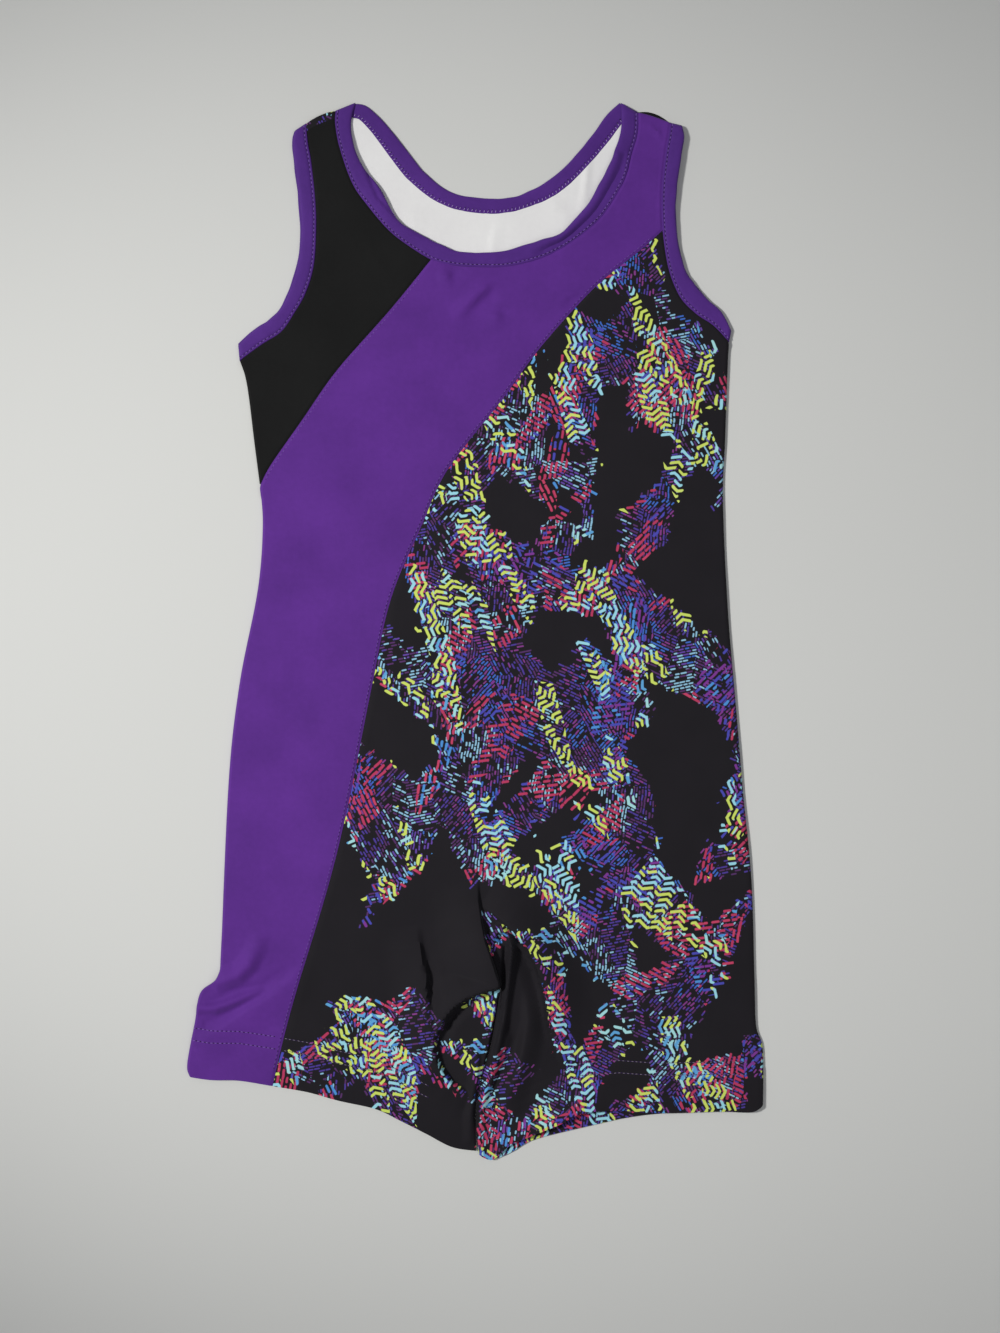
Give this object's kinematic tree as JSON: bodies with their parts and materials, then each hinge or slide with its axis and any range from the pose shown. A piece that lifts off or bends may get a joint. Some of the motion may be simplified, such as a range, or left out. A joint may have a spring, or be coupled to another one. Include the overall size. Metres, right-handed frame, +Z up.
{
  "type": "leotard",
  "caption": "Child's sleeveless gymnastics leotard with short legs, laid flat on its back: black yoke, purple diagonal band, printed panel, purple bindings, folds at the crotch.",
  "frame": {"origin": "centre of the flat underside, under the middle of the overall box", "axes": "+X towards the right of someone looking down at the front with the neck at the top, +Y towards the neck, +Z up, out of the front"},
  "size_m": [0.3165, 0.5798, 0.0109],
  "materials": {
    "print_cloth": "matt stretch knit, printed on its face and white on its reverse",
    "black_cloth": "matt stretch knit",
    "purple_cloth": "matt stretch knit",
    "binding": "folded stretch binding, topstitched"
  },
  "bodies": {
    "root": {"back_panel": "print_cloth", "front_print": "print_cloth", "crotch_layers": "print_cloth", "front_yoke": "black_cloth", "front_band": "purple_cloth", "neck_binding_front": "binding", "neck_binding_back": "binding", "arm_binding_left_front": "binding", "arm_binding_left_back": "binding", "arm_binding_right_front": "binding", "arm_binding_right_back": "binding"}
  },
  "joints": []
}
